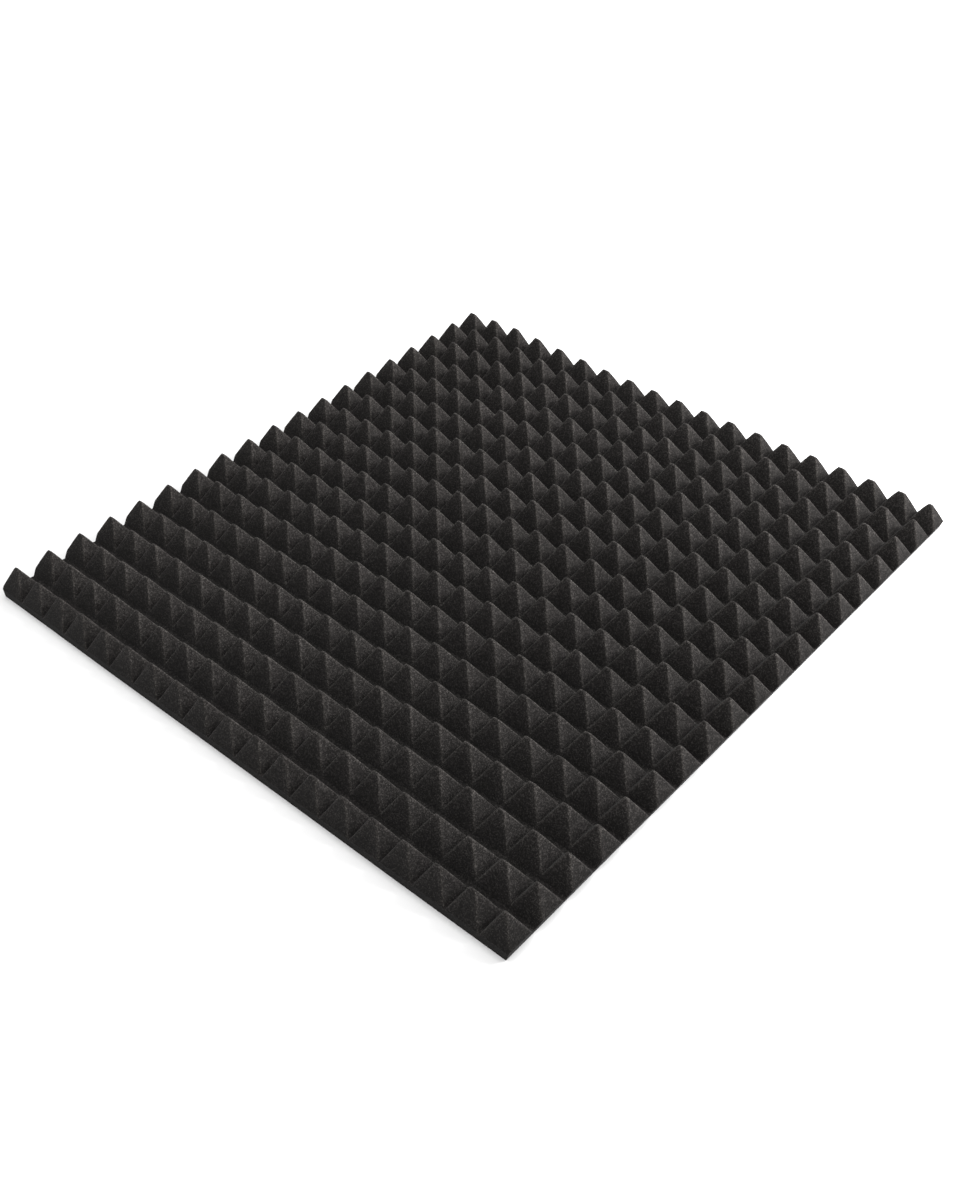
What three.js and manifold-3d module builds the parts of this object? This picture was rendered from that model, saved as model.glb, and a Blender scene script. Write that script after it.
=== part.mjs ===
// Acoustic foam panel: one square sheet of soft open-cell foam with a flat back. Its face is
// cut twice with the same row of saw teeth, once along each side, and the two sets of
// grooves leave a field of pyramids. The sheet is then trimmed to size.
// Millimetres. X runs along the length, Y along the width and +Z out through the pyramids.
// The origin is the middle of the flat back.
import * as THREE from 'three';
import { mergeVertices } from 'three/addons/utils/BufferGeometryUtils.js';
import Module from 'manifold-3d';

// Trimmed sheet
const panelLength = 1000;
const panelWidth = 1000;
const panelThickness = 50;

// Pyramid pattern. The soft sheet is drawn out a little more along its width than along its
// length while it is cut. The trim falls a little short of the outermost grooves.
const crestPitchAlongLength = 53.1;
const crestPitchAlongWidth = 53.8;
const firstCrestFromLeftEdge = 23.4;
const firstCrestFromFrontEdge = 20.9;

// The flanks over the trimmed right and back edges stand further in than the others by this
// much. The last tips on the right are points rather than ridges, and those at the back are
// a little lower.
const rightFlankInset = 5.6;
const backFlankInset = 6;

// Foam left under the grooves. Those along X are cut deeper than those along Y, so every
// pyramid ends in a short ridge along X.
const foamUnderDeepGroove = 6.5;
const foamUnderShallowGroove = 13;

// The blade rounds each crest and each groove root by this much, measured up or down from
// the point where the flat flanks would meet.
const crestBlunting = 0.8;
const rootFilling = 1;
const roundingSteps = 2;

// How far every cutting body runs past the trimmed sheet
const cutOverrun = 20;

const foamColor = '#3a3836';
const foamRoughness = 0.97;

// Both cuts use one flank slope, set by the deeper one
const deepRootPoint = foamUnderDeepGroove - rootFilling;
const shallowRootPoint = foamUnderShallowGroove - rootFilling;
const deepToothHeight = panelThickness + crestBlunting - deepRootPoint;
const flankSlope = deepToothHeight / (crestPitchAlongWidth / 2);

const wasm = await Module();
wasm.setup();

// A closed three.js geometry as a solid that can be cut
function toSolid(geometry) {
  const bare = geometry.clone();
  bare.deleteAttribute('normal');
  bare.deleteAttribute('uv');
  const merged = mergeVertices(bare);
  return new wasm.Manifold(new wasm.Mesh({
    numProp: 3,
    vertProperties: new Float32Array(merged.attributes.position.array),
    triVerts: new Uint32Array(merged.index.array),
  }));
}

function toGeometry(solid) {
  const mesh = solid.getMesh();
  const geometry = new THREE.BufferGeometry();
  geometry.setAttribute('position', new THREE.BufferAttribute(mesh.vertProperties, mesh.numProp));
  geometry.setIndex(new THREE.BufferAttribute(mesh.triVerts, 1));
  geometry.computeVertexNormals();
  return geometry;
}

// Carries an outline on past a corner between two flanks, leftwards, with the corner rounded.
// The middle of the curve lies the blunting under a crest, or the filling over a root.
function roundCrest(outline, along, height) {
  const reach = 2 * crestBlunting / flankSlope;
  const tangentHeight = height - flankSlope * reach;
  outline.lineTo(along + reach, tangentHeight);
  outline.quadraticCurveTo(along, height, along - reach, tangentHeight);
}

function roundRoot(outline, along, height) {
  const reach = 2 * rootFilling / flankSlope;
  const tangentHeight = height + flankSlope * reach;
  outline.lineTo(along + reach, tangentHeight);
  outline.quadraticCurveTo(along, height, along - reach, tangentHeight);
}

// The saw teeth of one cut, seen along its grooves. Places along the outline start at the
// trimmed edge that the first crest is measured from. Past the outermost roots the outline
// runs on level, and the trim takes that away.
function toothedOutline(cut) {
  const halfPitch = cut.pitch / 2;
  const crestHeight = cut.rootPoint + flankSlope * halfPitch;
  const lastTooth = Math.floor((cut.span - cut.firstCrest) / cut.pitch);
  const firstRoot = cut.firstCrest - halfPitch;
  const lastRoot = cut.firstCrest + lastTooth * cut.pitch + halfPitch - cut.lastFlankInset;
  const start = Math.min(0, firstRoot) - cutOverrun;
  const end = Math.max(cut.span, lastRoot) + cutOverrun;
  const outline = new THREE.Shape();
  outline.moveTo(start, -cutOverrun);
  outline.lineTo(end, -cutOverrun);
  outline.lineTo(end, cut.rootPoint);
  outline.lineTo(lastRoot, cut.rootPoint);
  for (let tooth = lastTooth; tooth >= 0; tooth -= 1) {
    const crest = cut.firstCrest + tooth * cut.pitch;
    const shift = tooth === lastTooth ? cut.lastFlankInset / 2 : 0;
    roundCrest(outline, crest - shift, crestHeight - flankSlope * shift);
    if (tooth > 0) {
      roundRoot(outline, crest - halfPitch, cut.rootPoint);
    }
  }
  outline.lineTo(firstRoot, cut.rootPoint);
  outline.lineTo(start, cut.rootPoint);
  return outline;
}

// Foam left by one cut: its outline drawn out along the grooves, centred on the sheet, with
// the outline along X, the grooves along Y and the teeth up.
function cutSheet(cut) {
  const depth = cut.grooveLength + 2 * cutOverrun;
  const geometry = new THREE.ExtrudeGeometry(toothedOutline(cut), {
    depth,
    bevelEnabled: false,
    curveSegments: roundingSteps,
  });
  geometry.translate(-cut.span / 2, 0, -depth / 2);
  geometry.rotateX(Math.PI / 2);
  return geometry;
}

// The block that the cut sheet is trimmed to, standing on the back's plane
function trimBlock() {
  const height = panelThickness + cutOverrun;
  const geometry = new THREE.BoxGeometry(panelLength, panelWidth, height);
  geometry.translate(0, 0, height / 2);
  return geometry;
}

function foamPanel() {
  const shallowCut = cutSheet({
    span: panelLength,
    grooveLength: panelWidth,
    pitch: crestPitchAlongLength,
    firstCrest: firstCrestFromLeftEdge,
    rootPoint: shallowRootPoint,
    lastFlankInset: rightFlankInset,
  });
  const deepCut = cutSheet({
    span: panelWidth,
    grooveLength: panelLength,
    pitch: crestPitchAlongWidth,
    firstCrest: firstCrestFromFrontEdge,
    rootPoint: deepRootPoint,
    lastFlankInset: backFlankInset,
  });
  deepCut.rotateZ(Math.PI / 2);
  const pyramids = toSolid(shallowCut).intersect(toSolid(deepCut));
  const panel = pyramids.intersect(toSolid(trimBlock()));
  const foam = new THREE.MeshStandardMaterial({
    color: foamColor,
    roughness: foamRoughness,
    metalness: 0,
    flatShading: true,
  });
  const mesh = new THREE.Mesh(toGeometry(panel), foam);
  mesh.name = 'foam_panel';
  return mesh;
}

const part = new THREE.Group();
part.add(foamPanel());

export default part;
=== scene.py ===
"""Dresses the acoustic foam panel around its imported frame, as a Blender add-on.

The panel is one trimmed sheet of charcoal open-cell polyurethane foam, cut twice with the same
row of saw teeth. Everything is in metres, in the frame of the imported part: X along the length,
Y along the width, Z out of the flat back through the pyramids.
"""

import math

import bmesh
import bpy
import numpy as np
from mathutils import Matrix, Vector


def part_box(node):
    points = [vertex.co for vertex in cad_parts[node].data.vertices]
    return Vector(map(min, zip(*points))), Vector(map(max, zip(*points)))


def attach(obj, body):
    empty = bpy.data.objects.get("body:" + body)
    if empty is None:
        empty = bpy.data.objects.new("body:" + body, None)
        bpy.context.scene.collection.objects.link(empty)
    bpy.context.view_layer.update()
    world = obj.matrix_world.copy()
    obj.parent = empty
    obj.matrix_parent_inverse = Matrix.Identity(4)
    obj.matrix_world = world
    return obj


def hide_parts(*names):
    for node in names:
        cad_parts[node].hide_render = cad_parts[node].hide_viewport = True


bl_info = {
    "name": "Acoustic Foam Panel",
    "version": (1, 0, 0),
    "blender": (4, 5, 0),
    "location": "View3D > Sidebar > Foam Panel",
    "description": "A sheet of open-cell foam cut into pyramids, with its studio stage",
    "category": "Add Mesh",
}

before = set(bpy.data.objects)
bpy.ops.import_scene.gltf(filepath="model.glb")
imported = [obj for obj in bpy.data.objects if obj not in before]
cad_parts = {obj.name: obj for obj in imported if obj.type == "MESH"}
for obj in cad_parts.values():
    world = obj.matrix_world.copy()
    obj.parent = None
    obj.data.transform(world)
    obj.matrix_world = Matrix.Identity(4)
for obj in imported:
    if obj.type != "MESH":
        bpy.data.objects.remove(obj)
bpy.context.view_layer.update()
SHEET_LOW, SHEET_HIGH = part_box("foam_panel")

MM = 0.001

# Points closer together than this are one point.
TINY = 0.01 * MM

# The blank is one unit tall. Its points over the middle belong to the cut face.
BLANK_MIDDLE = 0.5

# The noise is laid this far to each side of the sheet's middle, in metres.
NOISE_REACH = 1

# Cells of the noise by which the grooves stray, along X and along Y, and the seeds of all noise.
WANDER_CELLS = (0.17, 0.19)
WANDER_SEEDS = (3, 7)
LEAN_SEEDS = (5, 11)

# Steps in which the slanted rim settles on the face
RIM_STEPS = 12


def linear(hex_colour):
    """The linear RGBA of an sRGB hex colour: each share is divided by 12.92 if it is dark, and
    otherwise raised to 2.4 after the usual offset of 0.055."""
    shares = [int(hex_colour[at : at + 2], 16) / 255 for at in (1, 3, 5)]
    lit = [s / 12.92 if s <= 0.04045 else ((s + 0.055) / 1.055) ** 2.4 for s in shares]
    return (*lit, 1.0)


class FoamSheetSettings(bpy.types.PropertyGroup):
    """Sizes and colours of the foam sheet."""

    pitch_along_length: bpy.props.FloatProperty(
        name="Crest pitch along the length",
        description="Distance from one pyramid tip to the next, along X",
        default=53.35 * MM,
        min=20 * MM,
        unit="LENGTH",
    )
    pitch_along_width: bpy.props.FloatProperty(
        name="Crest pitch along the width",
        description="Distance from one pyramid tip to the next, along Y",
        default=53.73 * MM,
        min=20 * MM,
        unit="LENGTH",
    )
    first_crest_left: bpy.props.FloatProperty(
        name="First crest from the left",
        description="Distance from the trimmed left edge to the first row of tips",
        default=22.2 * MM,
        min=0,
        unit="LENGTH",
    )
    first_crest_front: bpy.props.FloatProperty(
        name="First crest from the front",
        description="Distance from the trimmed front edge to the first row of tips",
        default=21.87 * MM,
        min=0,
        unit="LENGTH",
    )
    right_flank_inset: bpy.props.FloatProperty(
        name="Right flank inset",
        description="How much further in the flank over the right edge stands than the others",
        default=5.6 * MM,
        min=0,
        unit="LENGTH",
    )
    far_flank_width: bpy.props.FloatProperty(
        name="Far flank width",
        description="Width of the flanks that face the back as a share of those facing the front",
        default=0.8,
        min=0.3,
        max=1,
        subtype="FACTOR",
    )
    back_flank_width: bpy.props.FloatProperty(
        name="Back flank width",
        description="The same for the last row, whose far flank is steeper still",
        default=0.567,
        min=0.3,
        max=1,
        subtype="FACTOR",
    )
    back_overhang: bpy.props.FloatProperty(
        name="Back overhang",
        description="How far the foot of the steep back flank spreads past the nominal edge",
        default=4.3 * MM,
        min=0,
        unit="LENGTH",
    )
    under_deep_groove: bpy.props.FloatProperty(
        name="Foam under the deep grooves",
        description="Thickness left under the grooves that run along X",
        default=6.5 * MM,
        min=0,
        unit="LENGTH",
    )
    under_shallow_groove: bpy.props.FloatProperty(
        name="Foam under the shallow grooves",
        description="Thickness left under the grooves that run along Y",
        default=13 * MM,
        min=0,
        unit="LENGTH",
    )
    flanks_meet_over_top: bpy.props.FloatProperty(
        name="Flanks meet over the top",
        description="How far over the sheet's nominal top the flat flanks of a crest would meet",
        default=0.8 * MM,
        min=0,
        unit="LENGTH",
    )
    crest_blunting: bpy.props.FloatProperty(
        name="Crest blunting",
        description="How far the soft crests lie under the point where their flanks would meet",
        default=2.3 * MM,
        min=0,
        unit="LENGTH",
    )
    back_crest_blunting: bpy.props.FloatProperty(
        name="Back crest blunting",
        description="The same for the last row, whose tips are worn lower",
        default=5.8 * MM,
        min=0,
        unit="LENGTH",
    )
    root_filling: bpy.props.FloatProperty(
        name="Root filling",
        description="How far the rounded groove roots lie over the point where flanks meet",
        default=1 * MM,
        min=0,
        unit="LENGTH",
    )
    hip_softness: bpy.props.FloatProperty(
        name="Hip softness",
        description="Height over which the two flanks beside a pyramid's edge melt together",
        default=2.8 * MM,
        min=0,
        unit="LENGTH",
    )
    rounding_width: bpy.props.FloatProperty(
        name="Rounding width",
        description="Width of the rounded strip on each side of a crest or hip",
        default=2.6 * MM,
        min=0.5 * MM,
        unit="LENGTH",
    )
    root_width: bpy.props.FloatProperty(
        name="Root width",
        description="Width of the rounded strip on each side of a groove's root",
        default=1 * MM,
        min=0.2 * MM,
        unit="LENGTH",
    )
    trim_slant: bpy.props.FloatProperty(
        name="Slant of the right trim",
        description="How far the right rim leans in for each unit it lies lower",
        default=0.49,
        min=0,
        max=1,
    )
    foot_inset: bpy.props.FloatProperty(
        name="Foot inset",
        description="How far the foot of the right edge stands in",
        default=4.6 * MM,
        min=0,
        unit="LENGTH",
    )
    blade_wander: bpy.props.FloatProperty(
        name="Blade wander",
        description="How far the grooves stray sideways",
        default=0.5 * MM,
        min=0,
        unit="LENGTH",
    )
    tip_lean: bpy.props.FloatProperty(
        name="Tip lean",
        description="How far a soft tip may lean to either side",
        default=0.9 * MM,
        min=0,
        unit="LENGTH",
    )
    swell: bpy.props.FloatProperty(
        name="Swell",
        description="Share of the measured slow waves in the height of the tips",
        default=1.0,
        min=0,
        max=2,
        subtype="FACTOR",
    )
    foam_colour: bpy.props.FloatVectorProperty(
        name="Foam",
        description="Charcoal of the cut flanks",
        size=4,
        subtype="COLOR",
        default=linear("#2c2a29"),
        min=0,
        max=1,
    )
    pore_colour: bpy.props.FloatVectorProperty(
        name="Pores",
        description="Dark of the open cells",
        size=4,
        subtype="COLOR",
        default=linear("#131110"),
        min=0,
        max=1,
    )
    # Painted highlight: this paler charcoal is laid along crests and hips, where light catches
    # their rounding.
    edge_highlight_colour: bpy.props.FloatVectorProperty(
        name="Fuzzy edges",
        description="Paler charcoal of the torn cell walls along crests and hips",
        size=4,
        subtype="COLOR",
        default=linear("#4a4744"),
        min=0,
        max=1,
    )


class StageSettings(bpy.types.PropertyGroup):
    """The pale floor, the soft lights and the camera."""

    floor_side: bpy.props.FloatProperty(
        name="Floor side",
        description="Side of the square floor",
        default=30,
        min=2,
        unit="LENGTH",
    )
    floor_colour: bpy.props.FloatVectorProperty(
        name="Floor",
        description="Pale studio floor",
        size=4,
        subtype="COLOR",
        default=linear("#e6e6e6"),
        min=0,
        max=1,
    )
    surround_strength: bpy.props.FloatProperty(
        name="Surround strength",
        description="Brightness of the white studio around the object",
        default=0.15,
        min=0,
    )
    ceiling_strength: bpy.props.FloatProperty(
        name="Ceiling strength",
        description="Strength of the very broad light from above",
        default=3.5,
        min=0,
    )
    key_power: bpy.props.FloatProperty(
        name="Key power",
        description="Power of the softbox beyond the back right corner",
        default=188,
        min=0,
        unit="POWER",
    )
    key_side: bpy.props.FloatProperty(
        name="Key side",
        description="Side of the square softbox",
        default=1.4,
        min=0.05,
        unit="LENGTH",
    )


# Shape of the sheet

# Slow waves in the height of the tips: half waves along the length, half waves along the
# width, and their height in millimetres.
HEIGHT_WAVES = (
    (0, 2, 0.23),
    (0, 3, 0.3),
    (0, 4, 0.8),
    (0, 5, 0.22),
    (1, 1, -1.61),
    (1, 2, 0.95),
    (1, 3, -0.18),
    (1, 4, 0.17),
    (2, 0, 0.24),
    (2, 1, -0.56),
    (2, 2, 1.52),
    (2, 3, -1.13),
    (3, 0, 0.35),
    (3, 1, -0.56),
    (3, 2, 0.34),
    (4, 0, 0.48),
    (4, 1, -0.2),
    (5, 0, 0.14),
)

# Local swellings and dents: the pyramid they are centred on, counted from zero along the
# length and the width, how many pyramids they spread over both ways, and their height in
# millimetres. The first two shape the back left corner, the others the front row.
LOCAL_SWELLS = (
    (2.4, 16.9, 1.2, 0.75, 4.6),
    (0, 17, 0.7, 2.2, -7.8),
    (9, 0, 30, 0.5, 1.8),
    (15.5, 0, 1.5, 0.5, 1.2),
    (18, 0, 0.6, 0.5, 2.4),
    (15.8, 1, 1.4, 0.45, -1.9),
)

# The outer flanks get light back from the floor, more than those in the photograph do. Their
# openness is therefore less than their share of the sheet's height: over the front edge this
# share of it less an offset, and over the right edge less another offset.
# Low openness is painted as shade in the material, so these make the outer flanks darker.
FRONT_SHADE_OPENNESS_SHARE = 0.72
FRONT_SHADE_OPENNESS_OFFSET = 0.1
RIGHT_SHADE_OPENNESS_OFFSET = 0.07

# The flat back is not sheltered by anything, so it gets the painted shade of the middle of a
# flank.
BACK_SHADE_OPENNESS_SHARE = 0.55


class ToothedCut:
    """One row of saw teeth along an axis, with the places measured from the sheet's middle."""

    def __init__(self, low, high, first_crest, pitch, root, slope, last_inset, widths):
        self.half_pitch = pitch / 2
        self.root = root
        self.slope = slope
        self.last_inset = last_inset
        self.width, self.last_width = widths
        count = math.floor((high - low - first_crest) / pitch) + 1
        self.crests = low + first_crest + pitch * np.arange(count)

    def past_crest(self, places):
        """Distance past the nearest crest, and whether that is the last one. Past a crest the
        distance is divided by the width share of the far flank."""
        nearest = np.abs(places[:, None] - self.crests[None, :]).argmin(axis=1)
        last = nearest == len(self.crests) - 1
        past = places - self.crests[nearest]
        width = np.where(last, self.last_width, self.width)
        return np.where(past > 0, past / width, past), last

    def height(self, places, filling):
        """Root plus slope times the distance t to the nearer root, with the root rounded by
        the hyperbola sqrt(t * t + c * c), whose c is the filling over the slope."""
        past, last = self.past_crest(places)
        inset = np.where(last, self.last_inset, 0)
        to_root = np.minimum(self.half_pitch + past, self.half_pitch - inset - past)
        to_root = np.maximum(to_root, 0)
        return self.root + self.slope * np.hypot(to_root, filling / self.slope)


def foam_cuts(settings):
    """The shallow cut, whose teeth follow X, and the deep one, whose teeth follow Y. Both have
    one slope, set by the deeper one."""
    deep_root = settings.under_deep_groove - settings.root_filling
    shallow_root = settings.under_shallow_groove - settings.root_filling
    meet = SHEET_HIGH.z + settings.flanks_meet_over_top
    slope = (meet - deep_root) / (settings.pitch_along_width / 2)
    shallow = ToothedCut(
        SHEET_LOW.x,
        SHEET_HIGH.x,
        settings.first_crest_left,
        settings.pitch_along_length,
        shallow_root,
        slope,
        settings.right_flank_inset,
        (1, 1),
    )
    deep = ToothedCut(
        SHEET_LOW.y,
        SHEET_HIGH.y,
        settings.first_crest_front,
        settings.pitch_along_width,
        deep_root,
        slope,
        0,
        (settings.far_flank_width, settings.back_flank_width),
    )
    return shallow, deep


def soft_minimum(first, second, softness):
    """The lower of two heights, with a rounded meeting: half of their sum less the root of
    their squared difference plus the squared softness."""
    return (first + second - np.hypot(first - second, softness)) / 2


def value_noise(x, y, cell, seed):
    """Smooth noise from -1 to 1: random numbers at the corners of square cells, mixed with
    the fade 3 t * t - 2 t * t * t along both axes."""
    gx = (x + NOISE_REACH) / cell
    gy = (y + NOISE_REACH) / cell
    ix = np.floor(gx).astype(int)
    iy = np.floor(gy).astype(int)
    side = math.ceil(2 * NOISE_REACH / cell) + 2
    corners = np.random.default_rng(seed).uniform(-1, 1, (side, side))
    tx = gx - ix
    ty = gy - iy
    fx = tx * tx * (3 - 2 * tx)
    fy = ty * ty * (3 - 2 * ty)
    near = corners[ix, iy] * (1 - fx) + corners[ix + 1, iy] * fx
    far = corners[ix, iy + 1] * (1 - fx) + corners[ix + 1, iy + 1] * fx
    return near * (1 - fy) + far * fy


def quarter_plan(half_x, half_y, half_ridge, strip, root):
    """Plan of a quarter pyramid from its crest outwards. The points lie on contour lines at
    the distance t outside the ridge. Each line runs along the long flank at y = t, round the
    hip at (ridge + t, t) with a point on each side of it, and along the short flank. Below
    the shallow root only the long flank goes on, in rows. Crests and hips have a strip on
    each side that takes their rounding, and roots a narrower one."""
    climb = half_x - half_ridge
    levels = np.array([strip, climb / 2, climb - root, climb])
    points = [(0, 0), (half_ridge, 0)]
    lines = [[0, 1, 1, 1, 1]]
    for t in levels:
        end = half_ridge + t
        first = len(points)
        points += [(0, t), (end - strip, t), (end, t)]
        if t > strip:
            points += [(end, t - strip), (end, 0)]
            lines.append([first, first + 1, first + 2, first + 3, first + 4])
        else:
            points.append((end, 0))
            lines.append([first, first + 1, first + 2, first + 3, first + 3])
    faces = []
    for inner, outer in zip(lines[:-1], lines[1:]):
        for a, b in zip(range(4), range(1, 5)):
            ring = [inner[b], inner[a], outer[a], outer[b]]
            faces.append([p for at, p in enumerate(ring) if p != ring[at - 1]])
    last = lines[-1][:3]
    for y in (climb + strip, half_y - root, half_y):
        row = list(range(len(points), len(points) + 3))
        points += [(0, y), (half_x - strip, y), (half_x, y)]
        for a, b in ((0, 1), (1, 2)):
            faces.append([last[b], last[a], row[a], row[b]])
        last = row
    return np.array(points), [face for face in faces if len(face) > 2]


def sheet_plan(settings, shallow, deep):
    """Plan of all pyramids: the quarter mirrored into a cell, and the cell set at each pair of
    crests. In the last column the ridge's far end and what lies past it stand further in. What
    lies past a crest line of the deep cut is squeezed to the width share, all but the line
    where the next pyramid begins."""
    meet = SHEET_HIGH.z + settings.flanks_meet_over_top
    half_ridge = shallow.half_pitch - (meet - shallow.root) / shallow.slope
    quarter, faces = quarter_plan(
        shallow.half_pitch,
        deep.half_pitch,
        half_ridge,
        settings.rounding_width,
        settings.root_width,
    )
    cell_points = []
    cell_faces = []
    for sign_x, sign_y in ((1, 1), (-1, 1), (-1, -1), (1, -1)):
        before = sum(len(part) for part in cell_points)
        cell_points.append(quarter * (sign_x, sign_y))
        way = 1 if sign_x * sign_y > 0 else -1
        cell_faces += [[before + p for p in face[::way]] for face in faces]
    cell = np.concatenate(cell_points)
    insets = np.zeros(len(shallow.crests))
    insets[-1] = shallow.last_inset
    shares = np.clip((1 + cell[:, 0] / half_ridge) / 2, 0, 1)
    x = shallow.crests[:, None] + cell[None, :, 0] - insets[:, None] * shares[None, :]
    widths = np.full(len(deep.crests), deep.width)
    widths[-1] = deep.last_width
    past = np.clip(cell[:, 1], 0, None) * (cell[:, 1] < deep.half_pitch - TINY)
    y = deep.crests[:, None] + cell[None, :, 1] - (1 - widths[:, None]) * past[None, :]
    shape = (len(shallow.crests), len(deep.crests), len(cell))
    x = np.broadcast_to(x[:, None, :], shape)
    y = np.broadcast_to(y[None, :, :], shape)
    points = np.stack([x.ravel(), y.ravel(), np.ones(x.size)], axis=-1)
    starts = np.arange(shape[0] * shape[1]) * len(cell)
    return points, [[start + p for p in face] for start in starts.tolist() for face in cell_faces]


def place_number(item):
    """One number for the middle of a point, edge or face of the blank: its height in hundredths
    and its Y and X in steps of the merging distance, set behind each other."""
    corners = [item] if isinstance(item, bmesh.types.BMVert) else item.verts
    middle = sum((vert.co for vert in corners), Vector()) / len(corners)
    along, across = (round((value + NOISE_REACH) / TINY) for value in middle.xy)
    reach = round(2 * NOISE_REACH / TINY)
    hundredths = round(middle.z * 100)
    return (hundredths * reach + across) * reach + along


def trimmed_blank(settings, shallow, deep):
    """A closed blank one unit tall: the plan's cells joined, trimmed on the four sides, and
    given walls and a back that is divided into squares. Rims are marked sharp."""
    points, faces = sheet_plan(settings, shallow, deep)
    flat = bpy.data.meshes.new("foam_sheet_plan")
    flat.from_pydata(points.tolist(), [], faces)
    blank = bmesh.new()
    blank.from_mesh(flat)
    bpy.data.meshes.remove(flat)
    bmesh.ops.remove_doubles(blank, verts=blank.verts, dist=TINY)
    for corner, outwards in (
        (SHEET_LOW, (-1, 0, 0)),
        (SHEET_HIGH, (1, 0, 0)),
        (SHEET_LOW, (0, -1, 0)),
        (SHEET_HIGH + Vector((0, settings.back_overhang, 0)), (0, 1, 0)),
    ):
        bmesh.ops.bisect_plane(
            blank,
            geom=blank.verts[:] + blank.edges[:] + blank.faces[:],
            dist=TINY,
            plane_co=corner,
            plane_no=outwards,
            clear_outer=True,
        )
    rim = [edge for edge in blank.edges if edge.is_boundary]
    made = bmesh.ops.extrude_edge_only(blank, edges=rim)["geom"]
    foot = [item for item in made if isinstance(item, bmesh.types.BMVert)]
    bmesh.ops.translate(blank, verts=foot, vec=(0, 0, -1))
    foot_edges = [edge for edge in blank.edges if edge.is_boundary]
    for edge in rim + foot_edges:
        edge.smooth = False
    back = bmesh.ops.contextual_create(blank, geom=foot_edges)["faces"]
    for axis, places in ((0, shallow.crests[:-1]), (1, deep.crests[:-1])):
        for place in places:
            corners = {vert for face in back for vert in face.verts}
            edges = {edge for face in back for edge in face.edges}
            point = Vector((0, 0, 0))
            point[axis] = place
            across = Vector((0, 0, 0))
            across[axis] = 1
            bmesh.ops.bisect_plane(
                blank,
                geom=[*corners, *edges, *back],
                dist=TINY,
                plane_co=point,
                plane_no=across,
            )
            back = [f for f in blank.faces if max(v.co.z for v in f.verts) < BLANK_MIDDLE]
    # The order in which bmesh lists new items changes from run to run, so it is fixed here.
    for items in (blank.verts, blank.edges, blank.faces):
        items.sort(key=place_number)
    bmesh.ops.recalc_face_normals(blank, faces=blank.faces)
    mesh = bpy.data.meshes.new("pyramid_foam_sheet")
    blank.to_mesh(mesh)
    blank.free()
    return mesh


def face_height(x, y, settings, shallow, deep):
    """Height of the cut face: the soft minimum of the two cuts, after the deep cut's crest is
    rounded by slope times (sqrt(d * d + b * b) - d) at the distance d from it. Also gives the
    distance from the hip, from the deep cut's crest, and where the deep cut is the lower."""
    short = shallow.height(x, settings.root_filling)
    away, last = deep.past_crest(y)
    away = np.abs(away)
    long = deep.height(y, settings.root_filling)
    blunting = np.where(last, settings.back_crest_blunting, settings.crest_blunting)
    rounding = blunting / deep.slope
    long = long - deep.slope * (np.hypot(away, rounding) - away)
    height = soft_minimum(short, long, settings.hip_softness)
    return height, np.abs(short - long) / deep.slope, away, short > long


def right_rim(y, settings, shallow, deep):
    """Where the slanted trim on the right meets the face. The step towards the trim's plane
    is divided by one plus both slopes' product, so a few steps settle."""
    rim = np.full(len(y), SHEET_HIGH.x)
    for _ in range(RIM_STEPS):
        height = face_height(rim, y, settings, shallow, deep)[0]
        goal = SHEET_HIGH.x + settings.trim_slant * (height - settings.under_shallow_groove)
        rim += (goal - rim) / (1 + settings.trim_slant * shallow.slope)
    return rim


def read_all(items, name, width=1, kind=float):
    """The named value of all of a mesh's items, in rows where each item has several."""
    values = np.empty(len(items) * width, dtype=kind)
    items.foreach_get(name, values)
    return values.reshape(-1, width) if width > 1 else values


def tip_waves(x, y, shallow, deep):
    """What the slow waves and local swellings add to the height. A wave is the product of two
    cosines, one along each side, and a swelling is a bell curve around its pyramid."""
    width_share = (y - deep.crests[0]) / (deep.crests[-1] - deep.crests[0])
    length_share = (x - shallow.crests[0]) / (shallow.crests[-1] - shallow.crests[0])
    waves = np.zeros(len(x))
    for along, across, size in HEIGHT_WAVES:
        wave = np.cos(math.pi * along * length_share) * np.cos(math.pi * across * width_share)
        waves += size * MM * wave
    for column, row, columns, rows, size in LOCAL_SWELLS:
        off_column = (length_share * (len(shallow.crests) - 1) - column) / columns
        off_row = (width_share * (len(deep.crests) - 1) - row) / rows
        waves += size * MM * np.exp(-(off_column**2 + off_row**2) / 2)
    return waves


def keep_for_material(mesh, upper, from_edge, shade_openness):
    """Keeps the distance from the hips and the openness at the faces' corners, so that the flat
    back has its own openness right up to the rim it shares with the walls. Both set painted light
    and shade in the material, and the walls are painted darker towards their foot."""
    index = read_all(mesh.loops, "vertex_index", kind=np.int32)
    starts = read_all(mesh.polygons, "loop_start", kind=np.int32)
    corners = np.diff(starts, append=len(index))
    on_back = np.repeat(np.logical_and.reduceat(~upper[index], starts), corners)
    shade_openness = np.where(on_back, BACK_SHADE_OPENNESS_SHARE, np.where(upper, shade_openness, 0)[index])
    for name, values in (("from_edge", from_edge[index]), ("shade_openness", shade_openness)):
        layer = mesh.attributes.new(name, "FLOAT", "CORNER")
        layer.data.foreach_set("value", values.astype(np.float32))


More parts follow.
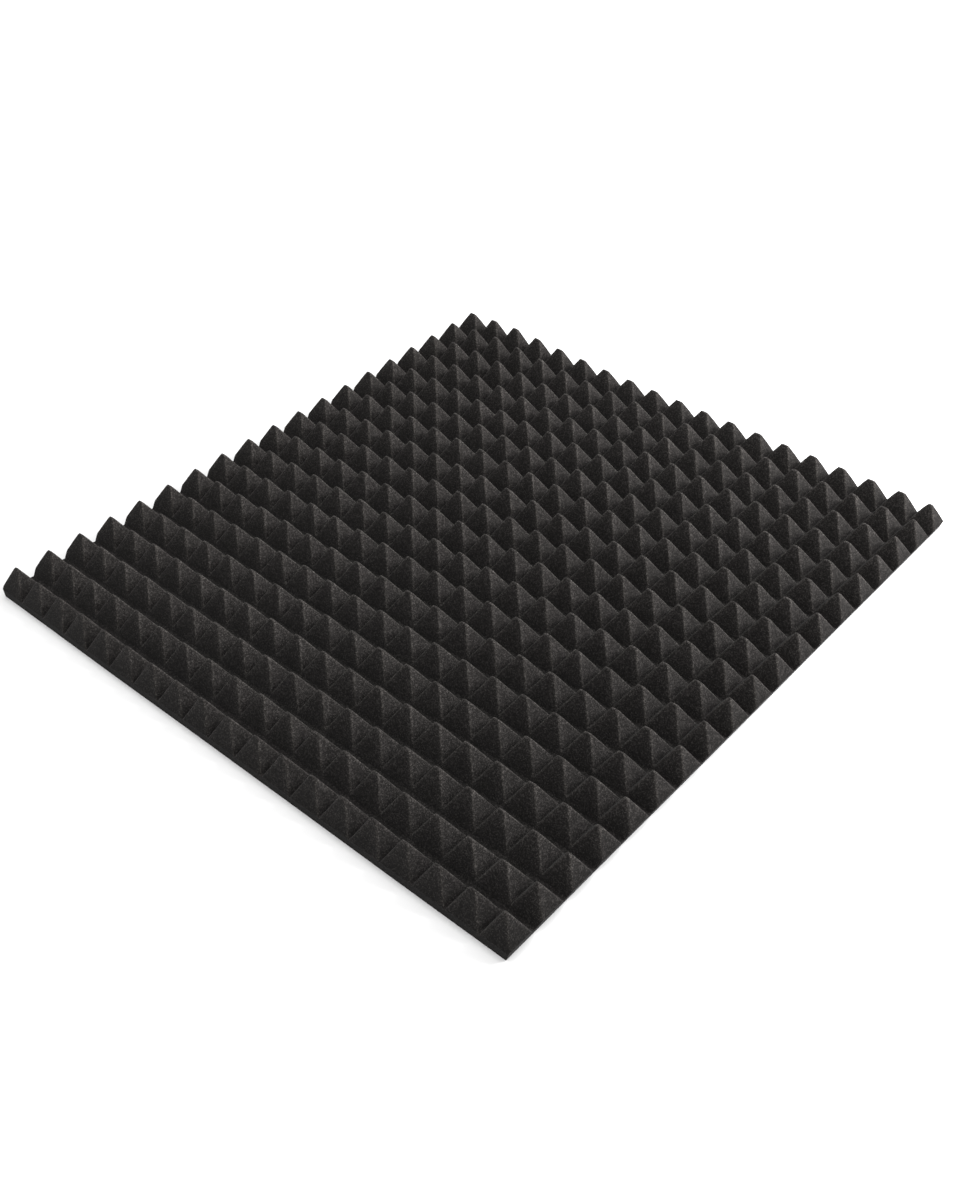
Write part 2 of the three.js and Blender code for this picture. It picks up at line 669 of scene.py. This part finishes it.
def shape_sheet(mesh, settings, shallow, deep):
    """Gives the blank its heights. The flanks over the right edge are squeezed to end at the
    slanted trim. Slow waves scale the heights, slow noise moves points sideways, as a blade
    wanders, and each tip leans by its noise times the squared share of its height."""
    co = read_all(mesh.vertices, "co", 3)
    x, y, upper = co[:, 0].copy(), co[:, 1].copy(), co[:, 2] > BLANK_MIDDLE
    last_crest = shallow.crests[-1]
    past_share = np.clip((x - last_crest) / (SHEET_HIGH.x - last_crest), 0, 1)
    foot = np.full(len(x), SHEET_HIGH.x - settings.foot_inset)
    rim = np.where(upper, right_rim(y, settings, shallow, deep), foot)
    x += past_share * (rim - SHEET_HIGH.x)
    height, from_hip, away, on_long = face_height(x, y, settings, shallow, deep)
    share = height / SHEET_HIGH.z
    waves = tip_waves(x, y, shallow, deep)
    # The distance from the hips, with the deep cut's crests held at half a strip, places the
    # painted highlight and the painted hip shading.
    half_strip = settings.rounding_width / 2
    from_edge = np.where((away < half_strip) & on_long, half_strip, from_hip)
    from_edge = np.where(upper, from_edge, settings.pitch_along_width)
    # Painted shade: the openness is the share of the height, less on the outer flanks, and the
    # material darkens the foam where it is low.
    front_shade_openness = FRONT_SHADE_OPENNESS_SHARE * share - FRONT_SHADE_OPENNESS_OFFSET
    right_shade_openness = share - RIGHT_SHADE_OPENNESS_OFFSET * (x > last_crest)
    shade_openness = np.where(y < deep.crests[0], front_shade_openness, right_shade_openness)
    keep_for_material(mesh, upper, from_edge, shade_openness)
    lean = settings.tip_lean * share**2 * upper
    lean_cell = settings.pitch_along_length
    co[:, 0] = x
    for axis in (0, 1):
        stray = value_noise(x, y, WANDER_CELLS[axis], WANDER_SEEDS[axis])
        tilt = value_noise(x, y, lean_cell, LEAN_SEEDS[axis])
        co[:, axis] += settings.blade_wander * stray + lean * tilt
    height = height * (1 + settings.swell * waves / SHEET_HIGH.z)
    co[:, 2] = np.where(upper, height, 0)
    mesh.vertices.foreach_set("co", co.ravel())
    mesh.shade_smooth()
    mesh.update()


def lay_out_map(mesh):
    """The map that baking goes through. The face, seen from above, takes the lower left of the
    unit square, the back a smaller square beside it, and the walls four strips over them."""
    corners = read_all(mesh.polygons, "loop_total", kind=np.int32)
    normals = np.repeat(read_all(mesh.polygons, "normal", 3), corners, axis=0)
    index = read_all(mesh.loops, "vertex_index", kind=np.int32)
    place = read_all(mesh.vertices, "co", 3)[index] - np.array(SHEET_LOW)
    margin = 0.005
    face_share = 0.66
    back_share = 0.3
    painted_hip_shading = 0.675
    strip_starts = (0.68, 0.72, 0.76, 0.80)
    wall_limit = 0.2
    back_limit = -0.9
    uv = margin + face_share * place[:, :2]
    back = normals[:, 2] < back_limit
    uv[back] = (painted_hip_shading, margin) + back_share * place[back, :2]
    wall = (normals[:, 2] < wall_limit) & ~back
    on_x = np.abs(normals[:, 0]) > np.abs(normals[:, 1])
    facing = np.where(on_x, normals[:, 0], normals[:, 1]) > 0
    for start, (across, far) in zip(strip_starts, ((0, 0), (0, 1), (1, 0), (1, 1))):
        pick = wall & (on_x == (across == 0)) & (facing == bool(far))
        uv[pick, 0] = margin + face_share * place[pick, 1 - across]
        uv[pick, 1] = start + face_share * place[pick, 2]
    layer = mesh.uv_layers.new(name="OFBake")
    layer.uv.foreach_set("vector", uv.ravel().astype(np.float32))


def add_node(tree, kind, inputs=None, links=None, **settings):
    """Adds a node with its settings, its plain input values and the links into it."""
    node = tree.nodes.new(kind)
    for name, value in settings.items():
        setattr(node, name, value)
    for socket, value in (inputs or {}).items():
        node.inputs[socket].default_value = value
    for socket, source in (links or {}).items():
        tree.links.new(source, node.inputs[socket])
    return node


def open_cell_foam(settings):
    """Charcoal open-cell polyurethane foam, cut with a blade: no gloss, dark pores about a
    millimetre wide, a soft paler fuzz at grazing angles and a painted highlight along the edges.
    The flanks also carry painted light and shade."""
    # Real cells are about 0.8 mm. They are drawn at 1.4 mm, the least that shows.
    cell_size = 1.4 * MM
    speckle_size = 2.0 * MM
    grit_size = 1.3 * MM
    mottle_size = 45 * MM
    highlight_reach = 3.2 * MM
    shade_reach = 14 * MM
    material = bpy.data.materials.new("charcoal_open_cell_polyurethane")
    material.use_nodes = True
    tree = material.node_tree
    tree.nodes.clear()
    place = add_node(tree, "ShaderNodeTexCoord").outputs["Object"]
    cells = add_node(
        tree,
        "ShaderNodeTexVoronoi",
        inputs={"Scale": 1 / cell_size, "Randomness": 1.0},
        links={"Vector": place},
    )
    speckle = add_node(
        tree,
        "ShaderNodeTexNoise",
        inputs={"Scale": 1 / speckle_size, "Detail": 3.0, "Roughness": 0.65},
        links={"Vector": place},
    )
    grit = add_node(
        tree,
        "ShaderNodeTexVoronoi",
        inputs={"Scale": 1 / grit_size, "Randomness": 1.0},
        links={"Vector": place},
    )
    chance = add_node(tree, "ShaderNodeSeparateColor", links={"Color": grit.outputs["Color"]})
    rare = add_node(
        tree,
        "ShaderNodeMath",
        operation="POWER",
        inputs={1: 3.0},
        links={0: chance.outputs["Red"]},
    )
    mottle = add_node(
        tree,
        "ShaderNodeTexNoise",
        inputs={"Scale": 1 / mottle_size, "Detail": 2.0},
        links={"Vector": place},
    )
    pore = add_node(
        tree,
        "ShaderNodeMapRange",
        inputs={"From Min": 0.1, "From Max": 0.75, "To Min": 1.0, "To Max": 0.0},
        links={"Value": cells.outputs["Distance"]},
    )
    torn = add_node(
        tree,
        "ShaderNodeMapRange",
        inputs={"From Min": 0.35, "From Max": 0.68, "To Min": 0.0, "To Max": 1.0},
        links={"Value": speckle.outputs["Fac"]},
    )
    pored = add_node(
        tree,
        "ShaderNodeMath",
        operation="MULTIPLY",
        links={0: pore.outputs["Result"], 1: torn.outputs["Result"]},
    )
    body = add_node(
        tree,
        "ShaderNodeMix",
        data_type="RGBA",
        inputs={"A": settings.foam_colour, "B": settings.pore_colour},
        links={"Factor": pored.outputs[0]},
    )
    edge = add_node(tree, "ShaderNodeAttribute", attribute_name="from_edge")
    # Painted highlight along the crests and hips, fading out over the highlight reach.
    edge_highlight_share = add_node(
        tree,
        "ShaderNodeMapRange",
        inputs={"From Min": 0, "From Max": highlight_reach, "To Min": 0.24, "To Max": 0.0},
        links={"Value": edge.outputs["Fac"]},
    )
    edge_highlighted = add_node(
        tree,
        "ShaderNodeMix",
        data_type="RGBA",
        inputs={"B": settings.edge_highlight_colour},
        links={"Factor": edge_highlight_share.outputs["Result"], "A": body.outputs["Result"]},
    )
    # Painted light and shade: the flanks are drawn lighter by the hips and darker away from them
    # and down into the grooves.
    painted_hip_shading = add_node(
        tree,
        "ShaderNodeMapRange",
        inputs={"From Min": 0, "From Max": shade_reach, "To Min": 1.22, "To Max": 0.92},
        links={"Value": edge.outputs["Fac"]},
    )
    shade_openness = add_node(tree, "ShaderNodeAttribute", attribute_name="shade_openness")
    painted_groove_shade = add_node(
        tree,
        "ShaderNodeMapRange",
        inputs={"From Min": 0.1, "From Max": 0.85, "To Min": 0.5, "To Max": 1.15},
        links={"Value": shade_openness.outputs["Fac"]},
    )
    painted_shade = add_node(
        tree,
        "ShaderNodeMath",
        operation="MULTIPLY",
        links={0: painted_hip_shading.outputs["Result"], 1: painted_groove_shade.outputs["Result"]},
    )
    broad = add_node(
        tree,
        "ShaderNodeMapRange",
        inputs={"From Min": 0.3, "From Max": 0.7, "To Min": 0.92, "To Max": 1.08},
        links={"Value": mottle.outputs["Fac"]},
    )
    fine = add_node(
        tree,
        "ShaderNodeMapRange",
        inputs={"To Min": 0.58, "To Max": 2.3},
        links={"Value": rare.outputs[0]},
    )
    grain = add_node(
        tree,
        "ShaderNodeMath",
        operation="MULTIPLY",
        links={0: broad.outputs["Result"], 1: fine.outputs["Result"]},
    )
    # The grain's random tone times the painted light and shade.
    grain_and_painted_shade = add_node(
        tree,
        "ShaderNodeMath",
        operation="MULTIPLY",
        links={0: grain.outputs[0], 1: painted_shade.outputs[0]},
    )
    toned = add_node(
        tree,
        "ShaderNodeHueSaturation",
        links={"Value": grain_and_painted_shade.outputs[0], "Color": edge_highlighted.outputs["Result"]},
    )
    bump = add_node(
        tree,
        "ShaderNodeBump",
        inputs={"Strength": 0.6, "Distance": 0.5 * MM},
        links={"Height": speckle.outputs["Fac"]},
    )
    shader = add_node(
        tree,
        "ShaderNodeBsdfPrincipled",
        inputs={
            "Roughness": 0.95,
            "IOR": 1.45,
            "Specular IOR Level": 0.05,
            "Sheen Weight": 0.04,
            "Sheen Roughness": 0.6,
        },
        links={"Base Color": toned.outputs["Color"], "Normal": bump.outputs["Normal"]},
    )
    add_node(
        tree,
        "ShaderNodeOutputMaterial",
        links={"Surface": shader.outputs["BSDF"]},
    )
    return material


class FOAM_OT_cut_sheet(bpy.types.Operator):
    """Builds the foam sheet with its pyramids in place of the plain solid"""

    bl_idname = "foam_panel.cut_sheet"
    bl_label = "Cut Foam Sheet"

    def execute(self, context):
        settings = context.scene.foam_sheet
        shallow, deep = foam_cuts(settings)
        mesh = trimmed_blank(settings, shallow, deep)
        shape_sheet(mesh, settings, shallow, deep)
        if mesh.validate():
            raise RuntimeError("the foam sheet's mesh has faces that Blender refuses")
        lay_out_map(mesh)
        mesh.materials.append(open_cell_foam(settings))
        sheet = bpy.data.objects.new("pyramid_foam_sheet", mesh)
        context.scene.collection.objects.link(sheet)
        flatten = sheet.modifiers.new("flat_flanks", "WEIGHTED_NORMAL")
        flatten.keep_sharp = True
        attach(sheet, "root")
        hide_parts("foam_panel")
        return {"FINISHED"}


# The stage, in metres and degrees. The softbox looks past the panel, so its light reaches the
# foam at a slant.
CEILING_PLACE = (0.30, 0.15, 2.98)
CEILING_SPREAD = 85
KEY_PLACE = (1.90, 1.50, 1.50)
KEY_TARGET = (-1, 3, 0)
FLOOR_ROUGHNESS = 0.9


def aim(obj, place, target):
    """Puts an object at a place with its -Z axis towards the target."""
    way = Vector(target) - Vector(place)
    turn = way.to_track_quat("-Z", "Y").to_matrix().to_4x4()
    obj.matrix_world = Matrix.Translation(place) @ turn


class FOAM_OT_set_stage(bpy.types.Operator):
    """Lays the pale floor and sets the soft lights and the camera"""

    bl_idname = "foam_panel.set_stage"
    bl_label = "Set Stage"

    def execute(self, context):
        settings = context.scene.foam_stage
        scene = context.scene
        half = settings.floor_side / 2
        floor_mesh = bpy.data.meshes.new("studio_floor")
        corners = [(-half, -half, 0), (half, -half, 0), (half, half, 0), (-half, half, 0)]
        floor_mesh.from_pydata(corners, [], [(0, 1, 2, 3)])
        floor = bpy.data.objects.new("studio_floor", floor_mesh)
        scene.collection.objects.link(floor)
        floor_mesh.materials.append(pale_floor(settings))
        world = bpy.data.worlds.new("white_studio")
        world.use_nodes = True
        background = world.node_tree.nodes["Background"]
        background.inputs["Color"].default_value = linear("#ffffff")
        background.inputs["Strength"].default_value = settings.surround_strength
        scene.world = world
        broad = bpy.data.lights.new("ceiling_light", "SUN")
        broad.angle = math.radians(CEILING_SPREAD)
        broad.energy = settings.ceiling_strength
        ceiling = bpy.data.objects.new("ceiling_light", broad)
        scene.collection.objects.link(ceiling)
        aim(ceiling, CEILING_PLACE, (0, 0, 0))
        near = bpy.data.lights.new("right_softbox", "AREA")
        near.size = settings.key_side
        near.energy = settings.key_power
        key = bpy.data.objects.new("right_softbox", near)
        scene.collection.objects.link(key)
        aim(key, KEY_PLACE, KEY_TARGET)
        place_camera(scene)
        scene.view_settings.view_transform = "Standard"
        return {"FINISHED"}


def pale_floor(settings):
    """Matt white paper of a studio sweep."""
    material = bpy.data.materials.new("white_studio_paper")
    material.use_nodes = True
    shader = material.node_tree.nodes["Principled BSDF"]
    shader.inputs["Base Color"].default_value = settings.floor_colour
    shader.inputs["Roughness"].default_value = FLOOR_ROUGHNESS
    return material


def place_camera(scene):
    """Puts the camera where the photograph was taken from. Its place was found by fitting the
    tips and the two lower outlines."""
    picture_height = 1200
    sensor = 36
    focal_pixels = 1316.1
    centre_column = 480
    axis_column = 593.7
    camera = bpy.data.cameras.new("photo_camera")
    camera.sensor_width = sensor
    camera.lens = focal_pixels * sensor / picture_height
    camera.shift_x = (centre_column - axis_column) / picture_height
    camera.clip_end = 100
    obj = bpy.data.objects.new("photo_camera", camera)
    scene.collection.objects.link(obj)
    heading = math.radians(39.814)
    down = math.radians(40.928)
    roll = math.radians(-0.855)
    place = Vector((1.11456, -1.08106, 1.25892))
    turn = Matrix.Rotation(heading, 4, "Z") @ Matrix.Rotation(math.pi / 2 - down, 4, "X")
    obj.matrix_world = Matrix.Translation(place) @ turn @ Matrix.Rotation(roll, 4, "Z")
    scene.camera = obj


class FOAM_PT_sidebar(bpy.types.Panel):
    """Lists the steps and their settings"""

    bl_idname = "FOAM_PT_sidebar"
    bl_label = "Foam Panel"
    bl_space_type = "VIEW_3D"
    bl_region_type = "UI"
    bl_category = "Foam Panel"

    def draw(self, context):
        layout = self.layout
        for step, group in ((FOAM_OT_cut_sheet, "foam_sheet"), (FOAM_OT_set_stage, "foam_stage")):
            layout.operator(step.bl_idname)
            settings = getattr(context.scene, group)
            for name in settings.__annotations__:
                layout.prop(settings, name)


CLASSES = (
    FoamSheetSettings,
    StageSettings,
    FOAM_OT_cut_sheet,
    FOAM_OT_set_stage,
    FOAM_PT_sidebar,
)


def register():
    for item in CLASSES:
        bpy.utils.register_class(item)
    bpy.types.Scene.foam_sheet = bpy.props.PointerProperty(type=FoamSheetSettings)
    bpy.types.Scene.foam_stage = bpy.props.PointerProperty(type=StageSettings)


def unregister():
    del bpy.types.Scene.foam_stage
    del bpy.types.Scene.foam_sheet
    for item in reversed(CLASSES):
        bpy.utils.unregister_class(item)


def main():
    register()
    bpy.ops.foam_panel.cut_sheet()
    bpy.ops.foam_panel.set_stage()


if __name__ == "__main__":
    main()
